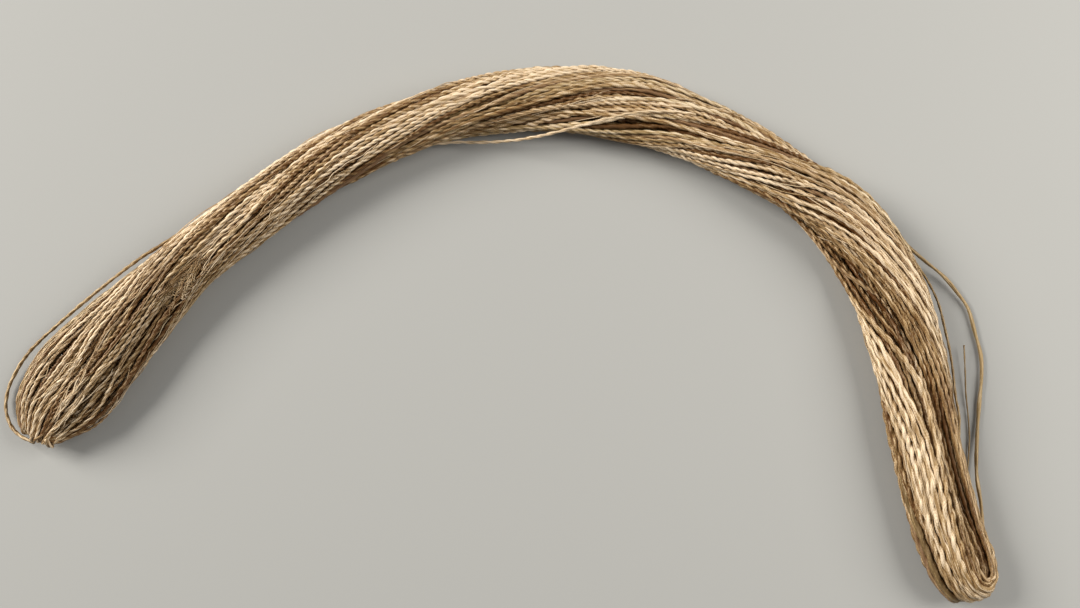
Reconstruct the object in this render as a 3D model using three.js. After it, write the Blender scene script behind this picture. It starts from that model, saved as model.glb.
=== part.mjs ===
// A hank of two-ply abaca yarn, laid down in an arch on a flat surface.
// Units are millimetres, +Z is up and the surface that the hank lies on is z = 0.
// The origin is at the middle of the footprint. The hank runs from its left end over the top of
// the arch to its right end, and "outer" is the side that faces away from the middle of the arch.
import * as THREE from "three";

// Driving dimensions of the wound bundle.
const SURFACE_Z = 0;
const AXIS_HEIGHT = 0.44; // height of the bundle's axis above the surface, as a share of its height
const LEFT_CAP = 15; // length over which the fanned left end closes to its pinch
const RIGHT_CAP = 10; // length over which the looped right end closes
const CAP_STEPS = 6;
const BODY_STEPS = 54;
const AROUND_STEPS = 36;
const GROOVE_SPREAD = 0.3; // width of the main grooves, as the sine of an angle
const RIDGES = 9; // groups of yarns that show round the bundle
const RIDGE_DEPTH = 0.035; // depth between two groups, as a share of the half size

// Driving dimensions of the strands that have come away from the bundle.
const YARN_DIAMETER = 0.9;
const SLACK_YARN_DIAMETER = 0.7;
const SINGLE_PLY_DIAMETER = 0.5;
const FIBRE_DIAMETER = 0.3;
const STRAND_SIDES = 8;
const STRAND_STEP = 2.3;

// One row for each section of the bundle, from the left end to the right end.
// x, y: its middle. width, height: its size before the ends are rounded off.
// turn: where the main groove lies, in degrees up from the outer side. groove: its depth, as a
// share of the half size. The two legs of the hank lie on either side of that groove.
const SECTIONS = [
  { x: -89.0, y: -23.0, width: 20.8, height: 8.8, turn: 470, groove: 0.0 },
  { x: -86.3, y: -17.6, width: 20.8, height: 9.2, turn: 470, groove: 0.05 },
  { x: -82.7, y: -12.5, width: 20.6, height: 9.4, turn: 470, groove: 0.08 },
  { x: -77.9, y: -6.6, width: 19.2, height: 9.6, turn: 468, groove: 0.1 },
  { x: -72.3, y: -0.1, width: 16.3, height: 9.6, turn: 464, groove: 0.12 },
  { x: -66.5, y: 6.0, width: 13.6, height: 9.7, turn: 458, groove: 0.12 },
  { x: -60.8, y: 11.8, width: 12.0, height: 9.8, turn: 450, groove: 0.12 },
  { x: -48.4, y: 22.0, width: 11.8, height: 9.9, turn: 431, groove: 0.12 },
  { x: -35.6, y: 31.3, width: 11.9, height: 9.9, turn: 410, groove: 0.12 },
  { x: -21.5, y: 38.7, width: 12.1, height: 9.8, turn: 388, groove: 0.12 },
  { x: -6.3, y: 43.7, width: 12.7, height: 9.6, turn: 358, groove: 0.13 },
  { x: 9.6, y: 45.5, width: 13.9, height: 9.4, turn: 321, groove: 0.14 },
  { x: 25.5, y: 44.2, width: 15.7, height: 9.2, turn: 284, groove: 0.15 },
  { x: 40.6, y: 38.6, width: 13.8, height: 9.6, turn: 248, groove: 0.17 },
  { x: 54.6, y: 30.8, width: 13.9, height: 10.0, turn: 212, groove: 0.2 },
  { x: 67.2, y: 21.2, width: 15.4, height: 10.2, turn: 178, groove: 0.24 },
  { x: 75.5, y: 7.6, width: 15.2, height: 9.8, turn: 148, groove: 0.28 },
  { x: 79.6, y: -7.8, width: 14.3, height: 9.4, turn: 122, groove: 0.32 },
  { x: 81.7, y: -23.7, width: 13.5, height: 9.1, turn: 92, groove: 0.34 },
  { x: 84.8, y: -39.3, width: 13.4, height: 8.8, turn: 76, groove: 0.32 },
  { x: 86.8, y: -46.0, width: 13.4, height: 8.6, turn: 70, groove: 0.28 },
  { x: 88.4, y: -53.0, width: 13.4, height: 8.4, turn: 66, groove: 0.2 },
];

// The routes of the strands that stand away from the bundle, as points along their middle.
const LEFT_STRAND_ROUTE = [
  [-70.5, 12.3, 5.0],
  [-78.2, 6.6, 3.8],
  [-85.9, 0.3, 2.6],
  [-92.1, -5.5, 1.7],
  [-94.7, -9.4, 1.3],
  [-96.2, -13.3, 1.1],
  [-96.3, -16.4, 1.2],
  [-95.3, -19.2, 1.7],
  [-93.2, -21.5, 2.6],
  [-91.1, -22.7, 3.4],
];
const RIGHT_STRAND_ROUTE = [
  [80.8, 14.9, 4.2],
  [84.7, 12.1, 2.6],
  [88.6, 9.2, 1.5],
  [91.5, 5.7, 0.9],
  [93.2, 3.1, 0.7],
  [94.3, -1.9, 0.6],
  [95.1, -6.5, 0.6],
  [94.8, -11.5, 0.6],
  [94.0, -16.4, 0.6],
  [93.0, -22.8, 0.8],
  [92.1, -29.1, 1.6],
  [91.9, -35.3, 3.0],
];
const MIDDLE_STRAND_ROUTE = [
  [26.1, 42.2, 8.7],
  [21.8, 40.6, 8.5],
  [18.1, 39.3, 8.1],
  [14.3, 38.2, 7.6],
  [10.6, 37.5, 6.4],
  [6.8, 37.1, 5.1],
  [3.0, 36.9, 3.9],
  [-0.9, 36.9, 2.9],
  [-4.6, 37.0, 2.2],
  [-8.3, 37.2, 1.8],
];
const EDGE_STRAND_ROUTE = [
  [82.6, 10.9, 3.8],
  [84.6, 8.4, 2.8],
  [86.8, 4.0, 2.0],
  [88.1, -2.1, 1.6],
  [88.5, -4.7, 1.6],
  [88.8, -8.7, 1.8],
  [88.7, -14.6, 2.6],
  [88.7, -18.7, 3.6],
];
const FIBRE_ROUTE = [
  [91.5, -4.5, 1.6],
  [91.6, -10.0, 1.0],
  [91.6, -13.8, 0.6],
  [91.8, -18.9, 0.4],
  [91.7, -22.8, 0.4],
  [91.0, -27.8, 0.5],
  [89.9, -35.2, 0.7],
];

const yarnMaterial = new THREE.MeshStandardMaterial({ color: 0xc8a573, roughness: 0.7, metalness: 0 });
const strandMaterial = new THREE.MeshStandardMaterial({ color: 0xb89763, roughness: 0.7, metalness: 0 });
const fibreMaterial = new THREE.MeshStandardMaterial({ color: 0xa88c60, roughness: 0.6, metalness: 0 });

// A smooth curve through three columns of the table, one point for each section.
function columnsCurve(pick) {
  return new THREE.CatmullRomCurve3(SECTIONS.map((row) => new THREE.Vector3(...pick(row))));
}

const route = columnsCurve((row) => [row.x, row.y, 0]);
const sizes = columnsCurve((row) => [row.width, row.height, 0]);
const twists = columnsCurve((row) => [row.turn, row.groove, 0]);
const routeLength = route.getLength();

// How much of its full size the bundle has at a distance from one end: a quarter of an ellipse.
function capShare(distance, capLength) {
  const missing = 1 - Math.min(1, distance / capLength);
  return Math.sqrt(1 - missing * missing);
}

// The distances along the route at which the bundle's rings lie, close together at the two ends.
function ringDistances() {
  const distances = [];
  for (let step = 1; step < CAP_STEPS; step += 1) {
    distances.push(LEFT_CAP * (1 - Math.cos((step / CAP_STEPS) * (Math.PI / 2))));
  }
  const bodyLength = routeLength - LEFT_CAP - RIGHT_CAP;
  for (let step = 0; step <= BODY_STEPS; step += 1) {
    distances.push(LEFT_CAP + (bodyLength * step) / BODY_STEPS);
  }
  for (let step = CAP_STEPS - 1; step > 0; step -= 1) {
    distances.push(routeLength - RIGHT_CAP * (1 - Math.cos((step / CAP_STEPS) * (Math.PI / 2))));
  }
  return distances;
}

// The section's shape: one, less the two main grooves and the shallow ones between the groups.
// The angle is counted from the main groove, so that every groove follows the twist.
function sectionShape(angle, groove) {
  const across = Math.sin(angle) / GROOVE_SPREAD;
  const mainGroove = groove * Math.exp(-across * across);
  const ridge = RIDGE_DEPTH * (0.5 + 0.5 * Math.cos(RIDGES * angle));
  return 1 - mainGroove - ridge;
}

// The points of one ring of the bundle. What would reach below the surface lies flat on it.
function ringPoints(distance) {
  const t = route.getUtoTmapping(distance / routeLength);
  const middle = route.getPoint(t);
  const along = route.getTangent(t);
  const { x: width, y: height } = sizes.getPoint(t);
  const { x: turn, y: groove } = twists.getPoint(t);
  const share = capShare(distance, LEFT_CAP) * capShare(routeLength - distance, RIGHT_CAP);
  const axisZ = SURFACE_Z + AXIS_HEIGHT * height;
  const grooveAngle = THREE.MathUtils.degToRad(turn);
  const points = [];
  for (let step = 0; step < AROUND_STEPS; step += 1) {
    const fromGroove = (step / AROUND_STEPS) * 2 * Math.PI;
    const angle = grooveAngle + fromGroove;
    const shape = share * sectionShape(fromGroove, groove);
    const outward = (width / 2) * shape * Math.cos(angle);
    const upward = (height / 2) * shape * Math.sin(angle);
    const x = middle.x - along.y * outward;
    const y = middle.y + along.x * outward;
    points.push([x, y, Math.max(SURFACE_Z, axisZ + upward)]);
  }
  return points;
}

// A point on the bundle's axis at one of its two ends.
function endPoint(t) {
  const middle = route.getPoint(t);
  return [middle.x, middle.y, SURFACE_Z + AXIS_HEIGHT * sizes.getPoint(t).y];
}

// The wound bundle: rings joined one to the next, and closed to a point at each end.
function hankGeometry() {
  const rings = ringDistances().map(ringPoints);
  const positions = [endPoint(0), ...rings.flat(), endPoint(1)];
  const last = positions.length - 1;
  const vertex = (ring, step) => 1 + ring * AROUND_STEPS + (step % AROUND_STEPS);
  const faces = [];
  for (let step = 0; step < AROUND_STEPS; step += 1) {
    faces.push([0, vertex(0, step + 1), vertex(0, step)]);
    for (let ring = 0; ring + 1 < rings.length; ring += 1) {
      faces.push([vertex(ring, step), vertex(ring, step + 1), vertex(ring + 1, step)]);
      faces.push([vertex(ring, step + 1), vertex(ring + 1, step + 1), vertex(ring + 1, step)]);
    }
    faces.push([last, vertex(rings.length - 1, step), vertex(rings.length - 1, step + 1)]);
  }
  const geometry = new THREE.BufferGeometry();
  geometry.setAttribute("position", new THREE.Float32BufferAttribute(positions.flat(), 3));
  geometry.setIndex(faces.flat());
  geometry.computeVertexNormals();
  return geometry;
}

// A loose strand: a round section carried along the smooth curve through its route.
function strandGeometry(points, diameter) {
  const path = new THREE.CatmullRomCurve3(points.map((point) => new THREE.Vector3(...point)));
  const section = new THREE.Shape();
  for (let side = 0; side < STRAND_SIDES; side += 1) {
    const angle = (side / STRAND_SIDES) * 2 * Math.PI;
    const x = (diameter / 2) * Math.cos(angle);
    const y = (diameter / 2) * Math.sin(angle);
    if (side === 0) section.moveTo(x, y);
    else section.lineTo(x, y);
  }
  section.closePath();
  return new THREE.ExtrudeGeometry(section, {
    steps: Math.round(path.getLength() / STRAND_STEP),
    extrudePath: path,
    bevelEnabled: false,
  });
}

function namedMesh(name, geometry, material) {
  const mesh = new THREE.Mesh(geometry, material);
  mesh.name = name;
  return mesh;
}

const group = new THREE.Group();
group.add(namedMesh("hank", hankGeometry(), yarnMaterial));
group.add(namedMesh("loose_strand_left", strandGeometry(LEFT_STRAND_ROUTE, YARN_DIAMETER), strandMaterial));
group.add(namedMesh("loose_strand_right", strandGeometry(RIGHT_STRAND_ROUTE, YARN_DIAMETER), strandMaterial));
group.add(
  namedMesh("loose_strand_middle", strandGeometry(MIDDLE_STRAND_ROUTE, SLACK_YARN_DIAMETER), strandMaterial),
);
group.add(namedMesh("edge_strand_right", strandGeometry(EDGE_STRAND_ROUTE, SINGLE_PLY_DIAMETER), strandMaterial));
group.add(namedMesh("fibre_end_right", strandGeometry(FIBRE_ROUTE, FIBRE_DIAMETER), fibreMaterial));

export default group;
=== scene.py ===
"""A hank of two-ply abaca yarn that lies in an arch, with each of its turns and its slack strands.

Shapes are worked out in millimetres, in the model's own frame, and written into the meshes in
metres. "Outer" is the side of the arch that faces away from its middle, and the yarn's distances
run from the hank's left end over the top of the arch to its right end.
"""

import logging
import math
from dataclasses import dataclass, field
from enum import Enum

import bpy
import numpy as np
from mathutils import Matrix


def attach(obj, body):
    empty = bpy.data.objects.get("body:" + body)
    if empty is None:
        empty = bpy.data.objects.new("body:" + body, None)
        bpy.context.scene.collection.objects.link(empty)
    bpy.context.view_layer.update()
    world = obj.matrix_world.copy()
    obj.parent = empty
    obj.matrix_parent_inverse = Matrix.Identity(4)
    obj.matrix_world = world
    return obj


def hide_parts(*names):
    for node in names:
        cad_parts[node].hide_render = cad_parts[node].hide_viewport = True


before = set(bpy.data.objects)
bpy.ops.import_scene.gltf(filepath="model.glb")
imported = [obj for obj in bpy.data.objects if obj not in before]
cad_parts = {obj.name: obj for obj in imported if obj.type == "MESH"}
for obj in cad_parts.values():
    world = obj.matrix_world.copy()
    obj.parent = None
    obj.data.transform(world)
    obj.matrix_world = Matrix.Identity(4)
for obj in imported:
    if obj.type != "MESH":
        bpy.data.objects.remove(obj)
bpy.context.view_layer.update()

MM = 0.001
TAU = 2 * math.pi
BODY = "root"
SEED = 7

Pair = tuple[float, float]
Triple = tuple[float, float, float]
Waves = tuple[Pair, ...]  # wave lengths, each with its height

WAVE_STRETCH: Pair = (0.75, 1.3)  # factors between which a curve's own wave lengths lie

log = logging.getLogger("hank")


# ---------------------------------------------------------------------------------------------
# Curves and frames
# ---------------------------------------------------------------------------------------------


@dataclass(frozen=True)
class Curve:
    """A smooth line through the rows of a table, by centripetal Catmull-Rom interpolation.

    Each stretch is a cubic whose slopes at its two ends come from the neighbouring rows, and the
    gap between two knots is the square root of the distance between their rows.
    """

    rows: np.ndarray

    def at(self, share: np.ndarray) -> np.ndarray:
        """Returns the points at the given shares of the way from the first row to the last.

        Args:
            share: numbers from 0 to 1, in an array of one dimension.

        Returns:
            One row of coordinates for each share.
        """
        rows = np.asarray(self.rows, float)
        first, last = 2 * rows[:1] - rows[1:2], 2 * rows[-1:] - rows[-2:-1]
        padded = np.concatenate([first, rows, last])
        where = np.clip(share, 0, 1) * (len(rows) - 1)
        stretch = np.minimum(where.astype(int), len(rows) - 2)
        part = (where - stretch)[:, None]
        p0, p1, p2, p3 = (padded[stretch + step] for step in range(4))
        gaps = [np.sqrt(np.linalg.norm(b - a, axis=1))[:, None] for a, b in ((p0, p1), (p1, p2), (p2, p3))]
        d1 = np.where(gaps[1] < 0.01, 1.0, gaps[1])
        d0 = np.where(gaps[0] < 0.01, d1, gaps[0])
        d2 = np.where(gaps[2] < 0.01, d1, gaps[2])
        m1 = ((p1 - p0) / d0 - (p2 - p0) / (d0 + d1) + (p2 - p1) / d1) * d1
        m2 = ((p2 - p1) / d1 - (p3 - p1) / (d1 + d2) + (p3 - p2) / d2) * d1
        square, cube = part**2, part**3
        return (
            (2 * cube - 3 * square + 1) * p1
            + (cube - 2 * square + part) * m1
            + (3 * square - 2 * cube) * p2
            + (cube - square) * m2
        )


def lengths_along(points: np.ndarray) -> np.ndarray:
    """Returns the distance of each point from the first, along the line through them.

    Args:
        points: the line's points, in the last but one dimension.

    Returns:
        The distances, in an array of the points' shape without its last dimension.
    """
    steps = np.linalg.norm(np.diff(points, axis=-2), axis=-1)
    start = np.zeros(steps.shape[:-1] + (1,))
    return np.concatenate([start, np.cumsum(steps, axis=-1)], axis=-1)


def evenly_spaced(line: np.ndarray, count: int) -> np.ndarray:
    """Returns that many points at equal distances along a line.

    Args:
        line: the points of the line, one row each.
        count: how many points to return.

    Returns:
        The points, one row each.
    """
    reach = lengths_along(line)
    wanted = np.linspace(0, reach[-1], count)
    return np.stack([np.interp(wanted, reach, column) for column in line.T], axis=1)


def softened(points: np.ndarray, times: int, axis: int) -> np.ndarray:
    """Returns the points after each has been moved to the weighted mean of itself and its neighbours.

    The weights are a quarter, a half and a quarter, and the first and last points stay.

    Args:
        points: the points.
        times: how often this is done.
        axis: the dimension along which the neighbours lie.

    Returns:
        The moved points, in an array of the same shape.
    """
    moved = np.moveaxis(points.copy(), axis, 0)
    for _ in range(times):
        moved[1:-1] = 0.5 * moved[1:-1] + 0.25 * (moved[:-2] + moved[2:])
    return np.moveaxis(moved, 0, axis)


def directions(points: np.ndarray) -> np.ndarray:
    """Returns the unit directions of the lines at their points, by central differences.

    Args:
        points: lines of points, as an array of lines, points and coordinates.

    Returns:
        The directions, in an array of the same shape.
    """
    along = np.gradient(points, axis=1)
    return along / np.linalg.norm(along, axis=2, keepdims=True)


def side_vectors(along: np.ndarray) -> np.ndarray:
    """Returns a unit vector across each line at each point that turns as little as possible.

    The vector at a point is its neighbour's vector less the part that lies along the line there.

    Args:
        along: the lines' unit directions, as an array of lines, points and coordinates.

    Returns:
        The vectors, in an array of the same shape.
    """
    side = np.empty_like(along)
    start = np.cross(along[:, 0], [0.0, 0.0, 1.0])
    side[:, 0] = start / np.linalg.norm(start, axis=1, keepdims=True)
    for step in range(1, along.shape[1]):
        moved = side[:, step - 1]
        moved = moved - np.sum(moved * along[:, step], axis=1, keepdims=True) * along[:, step]
        side[:, step] = moved / np.linalg.norm(moved, axis=1, keepdims=True)
    return side


def slow_noise(rng: np.random.Generator, count: int, places: np.ndarray, waves: Waves) -> np.ndarray:
    """Returns smooth random curves, each a sum of sine waves with phases drawn at random.

    Args:
        rng: the source of random numbers.
        count: how many curves.
        places: where the curves are evaluated.
        waves: the wave lengths and heights. A curve's own wave length is somewhat off them.

    Returns:
        The values, as an array of curves and places.
    """
    total = np.zeros((count, len(places)))
    for length, height in waves:
        phase = rng.uniform(0, TAU, (count, 1))
        stretch = rng.uniform(*WAVE_STRETCH, (count, 1))
        total += height * np.sin(TAU * places[None] / (length * stretch) + phase)
    return total


def share_passed(distance: np.ndarray, stretch: Pair) -> np.ndarray:
    """Returns how much of a stretch is passed: 0 before its start, 1 past its end, even in between."""
    return np.clip((distance - stretch[0]) / (stretch[1] - stretch[0]), 0, 1)


@dataclass(frozen=True)
class Profile:
    """A value that changes from stop to stop in straight lines, and is level outside its stops."""

    stops: tuple[Pair, ...]  # each a place and the value there

    def at(self, places: np.ndarray) -> np.ndarray:
        """Returns the values at the given places."""
        return np.interp(places, *zip(*self.stops))


# ---------------------------------------------------------------------------------------------
# Meshes
# ---------------------------------------------------------------------------------------------


@dataclass
class Surface:
    """Vertices, faces and attributes that become one mesh, in millimetres until they are written."""

    vertices: list[np.ndarray] = field(default_factory=list)
    quads: list[np.ndarray] = field(default_factory=list)
    triangles: list[np.ndarray] = field(default_factory=list)
    grain: list[np.ndarray] = field(default_factory=list)
    tone: list[np.ndarray] = field(default_factory=list)
    count: int = 0

    def add_tube(self, rings: np.ndarray, grain: np.ndarray, tone: np.ndarray) -> None:
        """Adds a closed tube, whose ends are closed by a point each.

        Args:
            rings: its points, as an array of rings, sides and coordinates.
            grain: the fibre coordinates of the same points.
            tone: three numbers that set the colour at the same points.
        """
        ring_count, sides = rings.shape[:2]
        ring, side = np.meshgrid(np.arange(ring_count - 1), np.arange(sides), indexing="ij")
        here, beyond = ring * sides, (ring + 1) * sides
        turned = (side + 1) % sides
        corners = [here + side, here + turned, beyond + turned, beyond + side]
        quads = np.stack(corners, axis=2).reshape(-1, 4)
        first, last = ring_count * sides, ring_count * sides + 1
        edge = np.arange(sides)
        turned_edge = (edge + 1) % sides
        start = np.stack([np.full(sides, first), turned_edge, edge], axis=1)
        base = (ring_count - 1) * sides
        end = np.stack([np.full(sides, last), base + edge, base + turned_edge], axis=1)
        middles = np.stack([rings[0].mean(0), rings[-1].mean(0)])
        self.vertices.append(np.concatenate([rings.reshape(-1, 3), middles]))
        self.grain.append(np.concatenate([grain.reshape(-1, 3), grain[0, :1], grain[-1, :1]]))
        self.tone.append(np.concatenate([tone.reshape(-1, 3), tone[0, :1], tone[-1, :1]]))
        self.quads.append(quads + self.count)
        self.triangles.append(np.concatenate([start, end]) + self.count)
        self.count += last + 1

    def to_object(self, name: str, material: bpy.types.Material) -> bpy.types.Object:
        """Returns the surface as a smooth mesh object in the scene, in metres.

        Args:
            name: the object's name.
            material: its finish.

        Returns:
            The object.
        """
        quads, triangles = np.concatenate(self.quads), np.concatenate(self.triangles)
        corners = np.concatenate([quads.ravel(), triangles.ravel()]).astype(np.int32)
        sizes = np.concatenate([np.full(len(quads), 4), np.full(len(triangles), 3)])
        starts = np.concatenate([[0], np.cumsum(sizes)[:-1]]).astype(np.int32)
        mesh = bpy.data.meshes.new(name)
        mesh.vertices.add(self.count)
        mesh.vertices.foreach_set("co", (np.concatenate(self.vertices) * MM).astype(np.float32).ravel())
        mesh.loops.add(len(corners))
        mesh.loops.foreach_set("vertex_index", corners)
        mesh.polygons.add(len(sizes))
        mesh.polygons.foreach_set("loop_start", starts)
        mesh.polygons.foreach_set("use_smooth", np.ones(len(sizes), dtype=bool))
        for label, values in (("grain", self.grain), ("tone", self.tone)):
            attribute = mesh.attributes.new(label, "FLOAT_VECTOR", "POINT")
            attribute.data.foreach_set("vector", np.concatenate(values).astype(np.float32).ravel())
        mesh.update(calc_edges=True)
        mesh.validate()
        mesh.materials.append(material)
        made = bpy.data.objects.new(name, mesh)
        bpy.context.scene.collection.objects.link(made)
        return made


def finish_piece(piece: bpy.types.Object, slot: str, *nodes: str) -> bpy.types.Object:
    """Makes a piece ride on the hank's body and stand for its CAD nodes.

    Args:
        piece: the new piece.
        slot: the record's material slot; not used.
        nodes: the CAD nodes that it stands for.

    Returns:
        The same piece.
    """
    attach(piece, BODY)
    if nodes:
        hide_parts(*nodes)
    log.info("%s: %d triangles", piece.name, sum(len(p.vertices) - 2 for p in piece.data.polygons))
    return piece


# ---------------------------------------------------------------------------------------------
# Yarn
# ---------------------------------------------------------------------------------------------


class Make(Enum):
    """How a strand is made up."""

    TWO_PLY = "two plies twisted together"
    SINGLE = "one ply or fibre"


@dataclass
class Lay:
    """How a yarn lies along a line. Each array has one entry for each of the line's points."""

    line: np.ndarray
    along: np.ndarray  # unit directions
    side: np.ndarray  # unit vectors across the line, from which the turn of the plies is counted
    turns: np.ndarray  # how far the plies have turned, in whole turns
    density: np.ndarray  # how many rings of the mesh there are to a point
    swell: np.ndarray  # thickness as a share of the full one
    waist: np.ndarray  # half width of the section's waist as a share of the thickness
    marks: np.ndarray  # how strongly the plies and their crease are marked by colour, the crease by a painted shade
    tone: np.ndarray  # three numbers that set the colour


@dataclass(frozen=True)
class Yarn:
    """A yarn's section and twist.

    The section of two plies is the outline of two circles side by side, which meet in a crease at
    the waist. With a ply's reach e from the yarn's middle and the waist's half width w, the circle's
    radius is (e^2 + w^2) / 2e, its distance c from the middle is (e^2 - w^2) / 2e, and the section's
    radius at an angle is c * |cos| + sqrt(c^2 * cos^2 + w^2).
    """

    thickness: float = 0.9
    make: Make = Make.TWO_PLY
    waist: float = 0.3  # half width of the waist, as a share of the thickness
    flatness: float = 0.12  # by how much a single ply is wider and thinner than round, as a share
    ply_contrast: float = 0.15  # by how much one ply is lighter and the other darker
    crease_shade: float = 0.7  # by how much the creases between them are darker, a painted shade

    def section(self, sides: int, uneven: float, waist: np.ndarray) -> tuple[np.ndarray, np.ndarray]:
        """Returns the angles of the section's corners and their radii, with a corner in each crease.

        A single ply is nearly round: its radius is thickness / 2 * (1 + flatness * cos(2 * angle)).

        Args:
            sides: how many corners the section has.
            uneven: how much further the first ply reaches than the second, as a share.
            waist: half widths of the waist as shares of the thickness, one for each ring.

        Returns:
            The angles, and the radii as an array of rings and sides.
        """
        angle = math.pi / 2 + TAU * np.arange(sides) / sides
        if self.make is Make.SINGLE:
            radius = self.thickness / 2 * (1 + self.flatness * np.cos(2 * angle))
            return angle, radius * np.ones((len(waist), 1))
        cosine = np.cos(angle)[None]
        reach = self.thickness / 2 * (1 + uneven * np.sign(cosine))
        half = waist[:, None] * self.thickness
        offset = (reach**2 - half**2) / (2 * reach)
        return angle, offset * np.abs(cosine) + np.sqrt((offset * cosine) ** 2 + half**2)

    def sweep(self, lay: Lay, sides: int, uneven: float) -> tuple[np.ndarray, np.ndarray, np.ndarray]:
        """Carries the section along a line, and turns it as the plies do.

        A ring's point is the line's point plus radius * (cos * side + sin * across), with the angle
        counted from the side vector and the ply's turn added to it. The twist is right-handed.

        Args:
            lay: how the yarn lies.
            sides: how many corners the section has.
            uneven: how much further the first ply reaches than the second, as a share.

        Returns:
            The rings, their fibre coordinates (the direction from the middle, and the distance) and
            their tones, of which the first is raised on one ply and lowered on the other, and lowered
            in the creases by a painted shade.
        """
        index = np.arange(len(lay.line))
        reach = lengths_along(lay.line)
        passed = np.concatenate([[0], np.cumsum(0.5 * (lay.density[1:] + lay.density[:-1]))])
        ring_count = max(4, int(round(passed[-1])))
        where = np.interp(np.linspace(0, passed[-1], ring_count), passed, index)
        middle = Curve(lay.line).at(where / index[-1])

        def picked(values: np.ndarray) -> np.ndarray:
            """Returns the line's values at the rings, one column for each of theirs."""
            columns = np.atleast_2d(values.T)
            return np.stack([np.interp(where, index, column) for column in columns], axis=-1)

        forward = picked(lay.along)
        forward /= np.linalg.norm(forward, axis=1, keepdims=True)
        level = picked(lay.side)
        level -= np.sum(level * forward, axis=1, keepdims=True) * forward
        level /= np.linalg.norm(level, axis=1, keepdims=True)
        across = np.cross(forward, level)
        corner, radius = self.section(sides, uneven, picked(lay.waist)[:, 0])
        angle = corner[None] + TAU * picked(lay.turns)
        size = radius * picked(lay.swell)
        cosine, sine = np.cos(angle), np.sin(angle)
        spoke = cosine[..., None] * level[:, None] + sine[..., None] * across[:, None]
        rings = middle[:, None] + size[..., None] * spoke
        distance = np.broadcast_to(picked(reach), angle.shape)
        grain = np.stack([cosine, sine, distance], axis=2)
        tones = np.broadcast_to(picked(lay.tone)[:, None], rings.shape).copy()
        # the crease term is a painted shade between the plies
        mark = self.ply_contrast * np.cos(corner) - self.crease_shade * (1 - np.abs(np.cos(corner))) ** 2
        tones[..., 0] += picked(lay.marks) * mark
        return rings, grain, tones


# ---------------------------------------------------------------------------------------------
# The wound bundle
# ---------------------------------------------------------------------------------------------


@dataclass
class Stations:
    """The bundle's cross-sections at a number of distances, one entry of each array for each."""

    middle: np.ndarray  # the route's points, seen from above
    outer: np.ndarray  # unit vectors across it, towards the arch's outer side
    width: np.ndarray
    height: np.ndarray
    turn: np.ndarray  # the main groove's angle up from the outer side, in radians
    groove: np.ndarray  # its depth as a share of the half size


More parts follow.
